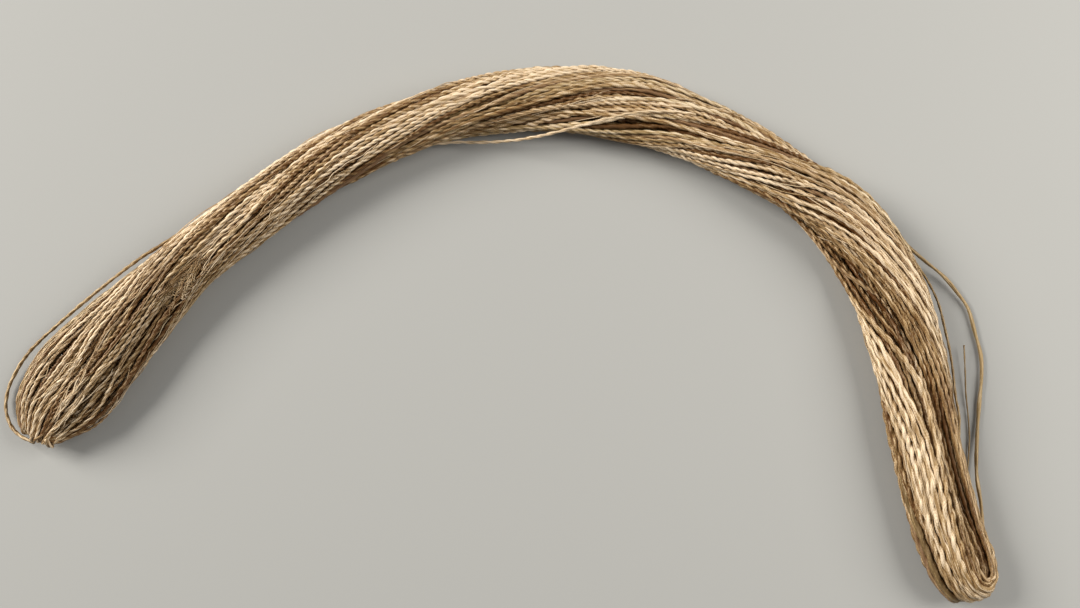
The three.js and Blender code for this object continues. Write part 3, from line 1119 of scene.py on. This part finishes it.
@dataclass(frozen=True)
class FibreGroup:
    """Fine fibres that lie on the bundle, and cross from one strand to others.

    The pairs are the ranges of random draws, and the start counts along a strand from the left end.
    """

    count: int
    start: Pair
    length: Pair
    around: Pair  # where they begin, in outer strands counted from the main groove
    drift: float  # by how many strands one moves sideways, at most
    curl: float  # height of its sideways waves, in strands
    lift: float  # how far it stands off the outer strands' middles
    thickness: Pair
    pale: float = 0.8  # by how much its tone is raised
    step: float = 0.9  # distance between a line's points
    lowest: float = 0.25  # least height of its middle

    def lines(self, rng: np.random.Generator, legs: np.ndarray, spacing: float) -> list[np.ndarray]:
        """Returns the fibres' lines.

        A line's place round the bundle is its start plus drift * share^2 * (3 - 2 * share) and two
        waves, and its points lie between the two outer strands on either side of that place. Its
        ends go down between the strands.

        Args:
            rng: the source of random numbers.
            legs: the outer strands in the order of their places, as strands, points and coordinates.
            spacing: the distance between a leg's points.

        Returns:
            The lines' points, one array of rows for each fibre.
        """
        middle = legs.mean(0)
        made = []
        for _ in range(self.count):
            begin, length = rng.uniform(*self.start), rng.uniform(*self.length)
            share = np.linspace(0, 1, max(8, int(length / self.step)))
            where = np.clip((begin + length * share) / spacing, 0, legs.shape[1] - 1.001)
            waves = slow_noise(rng, 1, share, ((0.8, self.curl), (0.31, 0.6 * self.curl)))[0]
            first = rng.uniform(*self.around)
            place = first + rng.uniform(-1, 1) * self.drift * share**2 * (3 - 2 * share) + waves
            low, part = np.floor(place).astype(int), (place % 1)[:, None]
            step, between = where.astype(int), (where % 1)[:, None]
            nearest = [strand % len(legs) for strand in (low, low + 1)]
            here, beyond = (
                legs[leg, step] * (1 - between) + legs[leg, step + 1] * between for leg in nearest
            )
            line = here * (1 - part) + beyond * part
            outward = line - middle[step]
            outward /= np.linalg.norm(outward, axis=1, keepdims=True)
            uneven = slow_noise(rng, 1, share, ((0.5, 0.3),))[0]
            rise = self.lift * (1 - (2 * share - 1) ** 6) * (1 + uneven)
            line = line + outward * rise[:, None]
            line[:, 2] = np.maximum(line[:, 2], self.lowest)
            made.append(line)
        return made


HAIRS = FibreGroup(
    count=170, start=(4, 250), length=(12, 36), around=(0, 36),
    drift=1.6, curl=0.1, lift=0.52, thickness=(0.13, 0.2),
)
FAN_HAIRS = FibreGroup(
    count=60, start=(3, 60), length=(10, 26), around=(0, 36),
    drift=1.8, curl=0.16, lift=0.54, thickness=(0.13, 0.22),
)
MATTED_PATCH = FibreGroup(
    count=38, start=(35, 43), length=(5, 9), around=(34.8, 38.4),
    drift=1.2, curl=0.4, lift=0.6, thickness=(0.14, 0.24), pale=-1.0, step=0.4,
)
PALE_CURLS = FibreGroup(
    count=6, start=(38, 44), length=(3, 6), around=(36.0, 38.4),
    drift=1.2, curl=0.6, lift=0.72, thickness=(0.14, 0.18), pale=0.9, step=0.3,
)
FRAYED_FAN = FibreGroup(
    count=30, start=(7, 13), length=(5, 9), around=(31.5, 35.5),
    drift=0.7, curl=0.02, lift=0.55, thickness=(0.15, 0.24), pale=1.3, step=0.7,
)


@dataclass(frozen=True)
class LooseFibres:
    """The fine fibres on the outer strands."""

    groups: tuple[FibreGroup, ...] = (HAIRS, FAN_HAIRS, MATTED_PATCH, PALE_CURLS, FRAYED_FAN)
    sides: int = 5
    taper: Profile = Profile(((0.0, 0.5), (0.15, 1.0), (0.85, 1.0), (1.0, 0.5)))  # thickness along one

    def build(
        self, rng: np.random.Generator, lines: np.ndarray, material: bpy.types.Material
    ) -> bpy.types.Object:
        """Builds the fibres.

        Args:
            rng: the source of random numbers.
            lines: the outer layer's loops, as loops, points and coordinates.
            material: the fibres' finish.

        Returns:
            The piece.
        """
        half = lines.shape[1] // 2
        legs = np.concatenate([lines[:, :half], lines[::-1, : half - 1 : -1]])
        spacing = float(np.linalg.norm(np.diff(lines[0], axis=0), axis=1).mean())
        surface = Surface()
        for group in self.groups:
            for line in group.lines(rng, legs, spacing):
                along = directions(line[None])
                fibre = Yarn(thickness=rng.uniform(*group.thickness), make=Make.SINGLE)
                tone = np.tile(rng.uniform(-1, 1, 3) + (group.pale, 0, 0), (len(line), 1))
                swell = self.taper.at(np.linspace(0, 1, len(line)))
                ones = np.ones(len(line))
                lay = Lay(line, along[0], side_vectors(along)[0], 0 * ones, ones, swell, ones, ones, tone)
                surface.add_tube(*fibre.sweep(lay, self.sides, 0.0))
        return finish_piece(surface.to_object("loose_fibres", material), "abaca_fibre")


# ---------------------------------------------------------------------------------------------
# Loose strands
# ---------------------------------------------------------------------------------------------


@dataclass(frozen=True)
class LooseStrand:
    """A strand that has come away from the bundle, as a cord along its own route."""

    name: str
    route: tuple[Triple, ...]
    yarn: Yarn
    before: tuple[Triple, ...] = ()  # its way inside the bundle before the route
    after: tuple[Triple, ...] = ()  # its way inside the bundle past the route
    free_start: bool = False  # its first point is a bare end
    pitch: float = 4.2
    marks: float = 2.0  # how strongly its plies are marked by colour, the crease between them by a painted shade
    tone: Triple = (0.0, 0.0, 0.0)
    sides: int = 12
    slot: str = "abaca_strand"
    pitch_waves: Waves = ((17.0, 0.12), (6.0, 0.1))
    swell_waves: Waves = ((13.0, 0.05), (5.0, 0.05))
    rings_a_turn: float = 14.0
    rough_points: int = 800  # points from which the line's length is measured
    point_gap: float = 0.5  # distance between the line's points
    uneven_plies: float = 0.05  # how much further one ply reaches than the other

    def build(self, rng: np.random.Generator, material: bpy.types.Material) -> bpy.types.Object:
        """Args:
            rng: the source of random numbers.
            material: the strand's finish.

        Returns:
            The piece.
        """
        shares = np.linspace(0, 1, self.rough_points)
        rough = Curve(np.array(self.before + self.route + self.after)).at(shares)
        length = float(lengths_along(rough)[-1])
        line = evenly_spaced(rough, int(length / self.point_gap))
        along = directions(line[None])
        side = side_vectors(along)[0]
        reach = lengths_along(line)
        pitch = self.pitch * (1 + slow_noise(rng, 1, reach, self.pitch_waves)[0])
        step = np.gradient(reach)
        lay = Lay(
            line=line,
            along=along[0],
            side=side,
            turns=np.cumsum(step / pitch),
            density=self.rings_a_turn * step / pitch,
            swell=1 + slow_noise(rng, 1, reach, self.swell_waves)[0],
            waist=np.full(len(line), self.yarn.waist),
            marks=np.full(len(line), self.marks),
            tone=np.tile(self.tone, (len(line), 1)),
        )
        surface = Surface()
        surface.add_tube(*self.yarn.sweep(lay, self.sides, self.uneven_plies))
        piece = finish_piece(surface.to_object(f"cord_{self.name}", material), self.slot, self.name)
        self.yarn.thickness * MM
        return piece


LOOSE_STRANDS = (
    LooseStrand(
        name="loose_strand_left",
        route=(
            (-70.5, 12.3, 5.0), (-78.2, 6.6, 3.8), (-85.9, 0.3, 2.6), (-92.1, -5.5, 1.7),
            (-94.7, -9.4, 1.3), (-96.2, -13.3, 1.1), (-96.3, -16.4, 1.2), (-95.3, -19.2, 1.7),
            (-93.2, -21.5, 2.6), (-91.1, -22.7, 3.4),
        ),
        yarn=Yarn(thickness=0.72, waist=0.38),
        before=((-57.0, 21.6, 4.2), (-61.5, 18.6, 4.6), (-66.2, 15.2, 5.0)),
        after=((-88.9, -23.6, 3.6),),
        tone=(-0.4, 0.6, 0.2),
        marks=1.4,
    ),
    LooseStrand(
        name="loose_strand_right",
        route=(
            (80.8, 14.9, 4.2), (84.7, 12.1, 2.6), (88.6, 9.2, 1.5), (91.5, 5.7, 0.9),
            (93.2, 3.1, 0.7), (94.3, -1.9, 0.6), (95.1, -6.5, 0.6), (94.8, -11.5, 0.6),
            (94.0, -16.4, 0.6), (93.0, -22.8, 0.8), (92.1, -29.1, 1.6), (91.9, -35.3, 3.0),
        ),
        yarn=Yarn(thickness=0.78, waist=0.36),
        before=((71.3, 24.8, 4.4), (74.6, 21.6, 4.6), (77.9, 18.2, 4.8)),
        after=((91.7, -38.4, 3.4), (91.1, -41.6, 3.7), (90.6, -45.0, 3.9)),
        pitch=17.0,
        marks=0.4,
        tone=(-0.6, 1.0, 0.0),
    ),
    LooseStrand(
        name="loose_strand_middle",
        route=(
            (26.1, 40.7, 8.9), (21.8, 39.8, 8.7), (18.1, 38.9, 8.3), (14.3, 38.1, 7.7),
            (10.6, 37.5, 6.4), (6.8, 37.1, 5.1), (3.0, 36.9, 3.9), (-0.9, 36.9, 2.9),
            (-4.6, 37.0, 2.2), (-8.3, 37.2, 1.8),
        ),
        yarn=Yarn(thickness=0.7, waist=0.28),
        before=((39.0, 40.9, 7.6), (34.5, 41.3, 8.1), (30.2, 41.2, 8.6)),
        after=((-12.0, 37.0, 1.8), (-16.0, 36.6, 2.0)),
        tone=(1.2, 0.0, 0.3),
        marks=1.0,
        pitch=5.0,
    ),
    LooseStrand(
        name="edge_strand_right",
        route=(
            (82.6, 10.9, 3.8), (84.6, 8.4, 2.8), (86.8, 4.0, 2.0), (88.1, -2.1, 1.6),
            (88.5, -4.7, 1.6), (88.8, -8.7, 1.8), (88.7, -14.6, 2.6), (88.7, -18.7, 3.6),
        ),
        yarn=Yarn(thickness=0.5, make=Make.SINGLE),
        before=((78.0, 17.0, 4.4), (80.6, 13.8, 4.4)),
        after=((88.2, -22.5, 4.0), (87.4, -26.0, 4.2)),
        tone=(-0.5, 0.8, 0.0),
        pitch=5.0,
        sides=8,
    ),
    LooseStrand(
        name="fibre_end_right",
        route=(
            (91.5, -4.5, 1.6), (91.6, -10.0, 1.0), (91.6, -13.8, 0.6), (91.8, -18.9, 0.4),
            (91.7, -22.8, 0.4), (91.0, -27.8, 0.5), (89.9, -35.2, 0.7),
        ),
        yarn=Yarn(thickness=0.3, make=Make.SINGLE),
        after=((89.1, -38.0, 1.4), (88.4, -40.5, 2.0)),
        tone=(-1.0, 1.0, 0.0),
        free_start=True,
        pitch=5.0,
        sides=8,
        slot="abaca_fibre",
    ),
)


# ---------------------------------------------------------------------------------------------
# Finishes
# ---------------------------------------------------------------------------------------------


@dataclass(frozen=True)
class Value:
    """A number in a shader: a node's socket, on which Python's operators add Math nodes."""

    nodes: "Shader"
    socket: bpy.types.NodeSocket

    def math(self, operation: str, *others: "Value | float", swap: bool = False) -> "Value":
        """Returns the result of a Math node.

        Args:
            operation: the node's operation.
            others: its other numbers.
            swap: puts the other number first.

        Returns:
            The node's result.
        """
        values = [self, *others]
        if swap:
            values.reverse()
        made = self.nodes.node("ShaderNodeMath", {"operation": operation}, dict(enumerate(values)))
        return Value(self.nodes, made.outputs[0])

    def __add__(self, other: "Value | float") -> "Value":
        """Returns the sum."""
        return self.math("ADD", other)

    __radd__ = __add__

    def __mul__(self, other: "Value | float") -> "Value":
        """Returns the product."""
        return self.math("MULTIPLY", other)

    __rmul__ = __mul__

    def __sub__(self, other: "Value | float") -> "Value":
        """Returns the difference."""
        return self.math("SUBTRACT", other)

    def __rsub__(self, other: "Value | float") -> "Value":
        """Returns the difference, with this value as what is taken away."""
        return self.math("SUBTRACT", other, swap=True)

    def between(self, low: float, high: float) -> "Value":
        """Returns 0 below low, 1 above high and a smooth step in between.

        Args:
            low: the value at which the step begins.
            high: the value at which it ends.

        Returns:
            The node's result.
        """
        inputs = {"Value": self, "From Min": low, "From Max": high}
        made = self.nodes.node("ShaderNodeMapRange", {"interpolation_type": "SMOOTHSTEP"}, inputs)
        return Value(self.nodes, made.outputs["Result"])


class Shader:
    """A material's nodes, with a Principled shader at their end."""

    def __init__(self, name: str) -> None:
        """Starts a material.

        Args:
            name: the material's name.
        """
        self.material = bpy.data.materials.new(name)
        self.material.use_nodes = True
        self.tree = self.material.node_tree
        self.principled = self.tree.nodes["Principled BSDF"]

    def link(self, source: "Value | bpy.types.NodeSocket", target: bpy.types.NodeSocket) -> None:
        """Links a value or a socket to an input."""
        self.tree.links.new(source.socket if isinstance(source, Value) else source, target)

    def node(self, kind: str, settings: dict, inputs: dict) -> bpy.types.Node:
        """Adds a node.

        Args:
            kind: the node's type.
            settings: its settings, and "stops" for a colour ramp's positions and colours.
            inputs: values or links by the sockets' names or numbers.

        Returns:
            The node.
        """
        made = self.tree.nodes.new(kind)
        for name, value in settings.items():
            if name == "stops":
                self.set_stops(made.color_ramp, value)
            else:
                setattr(made, name, value)
        for name, value in inputs.items():
            if isinstance(value, (Value, bpy.types.NodeSocket)):
                self.link(value, made.inputs[name])
            else:
                made.inputs[name].default_value = value
        return made

    @staticmethod
    def set_stops(ramp: bpy.types.ColorRamp, stops: tuple) -> None:
        """Sets a colour ramp's stops, from the lowest to the highest.

        Args:
            ramp: the colour ramp.
            stops: the places and the colours.
        """
        while len(ramp.elements) < len(stops):
            ramp.elements.new(1.0)
        for element, (position, colour) in zip(ramp.elements, stops):
            element.position = position
            element.color = (*colour, 1.0)

    def vector(self, name: str) -> bpy.types.NodeSocket:
        """Returns an attribute of the mesh as a vector."""
        return self.node("ShaderNodeAttribute", {"attribute_name": name}, {}).outputs["Vector"]

    def stretched(self, vector: bpy.types.NodeSocket, factors: Triple) -> bpy.types.NodeSocket:
        """Returns a vector with each part multiplied by its own factor."""
        inputs = {0: vector, 1: factors}
        return self.node("ShaderNodeVectorMath", {"operation": "MULTIPLY"}, inputs).outputs[0]

    def noise(self, vector: bpy.types.NodeSocket, scale: float, detail: float = 2.0) -> Value:
        """Returns a noise from 0 to 1 at that scale."""
        made = self.node("ShaderNodeTexNoise", {}, {"Vector": vector, "Scale": scale, "Detail": detail})
        return Value(self, made.outputs["Fac"])

    def mixed(self, factor: Value, one: object, other: object, blend: str = "MIX") -> bpy.types.NodeSocket:
        """Returns a mix of two colours.

        Args:
            factor: how much of the second colour there is.
            one: the first colour, as a socket or three numbers.
            other: the second colour.
            blend: how the colours are mixed.

        Returns:
            The mixed colour.
        """
        made = self.node("ShaderNodeMix", {"data_type": "RGBA", "blend_type": blend}, {})
        self.link(factor, made.inputs[0])
        for socket, value in ((made.inputs[6], one), (made.inputs[7], other)):
            if isinstance(value, bpy.types.NodeSocket):
                self.link(value, socket)
            else:
                socket.default_value = (*value, 1.0)
        return made.outputs[2]


@dataclass(frozen=True)
class AbacaFinish:
    """The finish of the yarn: long pale fibres with a silky gloss, unevenly coloured.

    The colours are linear. Streaks run along the fibres, each strand has its own tone, and the
    strands are lighter and darker in patches along the hank. The meshes' first tone also carries
    painted light and shade.
    """

    name: str
    pale: Triple = (0.88, 0.7, 0.49)
    middle: Triple = (0.37, 0.229, 0.094)
    dark: Triple = (0.1, 0.036, 0.008)
    olive: Triple = (0.36, 0.30, 0.14)
    pink: Triple = (0.50, 0.33, 0.20)
    pale_stop: float = 0.88  # where the main colours stand on the scale from dark to pale
    middle_stop: float = 0.5
    dark_stop: float = 0.12
    streaks: Triple = (3.2, 3.2, 0.17)  # noise cells in a section's radius, and in a millimetre along it
    clouds: Triple = (1.1, 1.1, 0.1)
    patches: float = 90.0  # noise cells in a metre of the hank
    streak_contrast: float = 1.8
    cloud_contrast: float = 0.8
    tone_contrast: float = 0.19
    patch_contrast: float = 0.35
    tinted: Pair = (0.3, 1.0)  # tones between which a strand takes up olive or pink
    olive_share: float = 0.22
    pink_share: float = 0.2
    roughness: float = 0.38
    rougher: float = 0.3  # by how much the palest streaks are rougher than the darkest
    specular: float = 0.8
    specular_tint: Triple = (1.0, 0.8, 0.52)
    bump: float = 0.7
    cloud_relief: float = 0.6  # relief of the clouds beside that of the streaks
    streak_depth: float = 0.0001  # in metres

    def build(self) -> bpy.types.Material:
        """Builds the material's nodes.

        Returns:
            The material.
        """
        shader = Shader(self.name)
        grain, tone = shader.vector("grain"), shader.vector("tone")
        parts = shader.node("ShaderNodeSeparateXYZ", {}, {0: tone})
        light, hue, shade = (Value(shader, parts.outputs[axis]) for axis in "XYZ")
        place = shader.node("ShaderNodeTexCoord", {}, {}).outputs["Object"]
        fine = shader.noise(shader.stretched(grain, self.streaks), scale=1.0, detail=3.0)
        broad = shader.noise(shader.stretched(grain, self.clouds), scale=1.0)
        patch = shader.noise(place, self.patches)
        level = 0.5 + (fine - 0.5) * self.streak_contrast + (broad - 0.5) * self.cloud_contrast
        # the first tone carries each strand's own tone together with painted light and shade
        level = level + light * self.tone_contrast + (patch - 0.5) * self.patch_contrast
        colours = (
            (self.dark_stop, self.dark),
            (self.middle_stop, self.middle),
            (self.pale_stop, self.pale),
        )
        colour = shader.node("ShaderNodeValToRGB", {"stops": colours}, {"Fac": level}).outputs["Color"]
        colour = shader.mixed(hue.between(*self.tinted) * self.olive_share, colour, self.olive)
        colour = shader.mixed(shade.between(*self.tinted) * self.pink_share, colour, self.pink)
        surface = shader.principled.inputs
        shader.link(colour, surface["Base Color"])
        shader.link(self.roughness + (fine - 0.5) * self.rougher, surface["Roughness"])
        height = fine + broad * self.cloud_relief
        relief = {"Strength": self.bump, "Distance": self.streak_depth, "Height": height}
        shader.link(shader.node("ShaderNodeBump", {}, relief).outputs["Normal"], surface["Normal"])
        surface["Specular IOR Level"].default_value = self.specular
        surface["Specular Tint"].default_value = (*self.specular_tint, 1.0)
        return shader.material


# ---------------------------------------------------------------------------------------------
# Surroundings
# ---------------------------------------------------------------------------------------------


@dataclass(frozen=True)
class SoftLight:
    """A square light that is turned to the middle of the floor."""

    name: str
    place: Triple
    size: float
    power: float
    colour: Triple = (1.0, 0.985, 0.95)

    def build(self) -> None:
        """Makes the light."""
        data = bpy.data.lights.new(self.name, "AREA")
        data.shape, data.size, data.energy = "SQUARE", self.size, self.power
        data.color = self.colour
        made = bpy.data.objects.new(self.name, data)
        made.location = self.place
        made.visible_camera = False
        x, y, z = self.place
        made.rotation_euler = (-math.atan2(math.hypot(x, y), z), 0.0, -math.atan2(x, y))
        bpy.context.scene.collection.objects.link(made)


@dataclass(frozen=True)
class Studio:
    """The camera, the plain floor and the soft lights from the left and from the right."""

    target: Triple = (0.008, 0.004, 0.0)
    distance: float = 0.2
    elevation: float = 80.0
    focal_length: float = 33.333
    sensor: float = 36.0
    floor_size: float = 3.0
    floor_colour: Triple = (0.40, 0.393, 0.37)
    floor_roughness: float = 0.95
    floor_specular: float = 0.1
    lights: tuple[SoftLight, ...] = (
        SoftLight("left_light", (-0.62, 0.25, 0.41), 0.4, 9.0),
        SoftLight("right_light", (0.32, 0.07, 0.24), 0.26, 1.3),
    )
    sky_colour: Triple = (0.95, 0.97, 1.0)
    sky_strength: float = 0.2

    def camera(self) -> bpy.types.Object:
        """Makes the scene's camera and returns it.

        Returns:
            The camera.
        """
        data = bpy.data.cameras.new("camera")
        data.lens, data.sensor_width = self.focal_length, self.sensor
        data.clip_start, data.clip_end = 0.01, 10.0
        made = bpy.data.objects.new("camera", data)
        tilt = math.radians(self.elevation)
        x, y, z = self.target
        made.location = (x, y - self.distance * math.cos(tilt), z + self.distance * math.sin(tilt))
        made.rotation_euler = (math.pi / 2 - tilt, 0.0, 0.0)
        bpy.context.scene.collection.objects.link(made)
        bpy.context.scene.camera = made
        return made

    def floor(self) -> bpy.types.Object:
        """Makes the floor and returns it.

        Returns:
            The floor.
        """
        half = self.floor_size / 2
        mesh = bpy.data.meshes.new("floor")
        corners = [(-half, -half, 0.0), (half, -half, 0.0), (half, half, 0.0), (-half, half, 0.0)]
        mesh.from_pydata(corners, [], [(0, 1, 2, 3)])
        shader = Shader("pale_floor")
        shader.principled.inputs["Base Color"].default_value = (*self.floor_colour, 1.0)
        shader.principled.inputs["Roughness"].default_value = self.floor_roughness
        shader.principled.inputs["Specular IOR Level"].default_value = self.floor_specular
        mesh.materials.append(shader.material)
        made = bpy.data.objects.new("floor", mesh)
        bpy.context.scene.collection.objects.link(made)
        return made

    def light(self) -> None:
        """Makes the soft lights and the even light of the room."""
        for light in self.lights:
            light.build()
        world = bpy.data.worlds.new("room")
        world.use_nodes = True
        background = world.node_tree.nodes["Background"]
        background.inputs["Color"].default_value = (*self.sky_colour, 1.0)
        background.inputs["Strength"].default_value = self.sky_strength
        bpy.context.scene.world = world
        bpy.context.scene.view_settings.view_transform = "Standard"


def main() -> None:
    """Builds the surroundings, the loose strands and the hank."""
    logging.basicConfig(level=logging.INFO, format="%(name)s: %(message)s")
    studio = Studio()
    studio.camera()
    rng = np.random.default_rng(SEED)
    strand_finish = AbacaFinish("abaca_strand").build()
    for strand in LOOSE_STRANDS:
        strand.build(rng, strand_finish)
    winding = Winding(Bundle())
    winding.build(rng, AbacaFinish("abaca_yarn").build())
    studio.floor()
    studio.light()


if __name__ == "__main__":
    main()
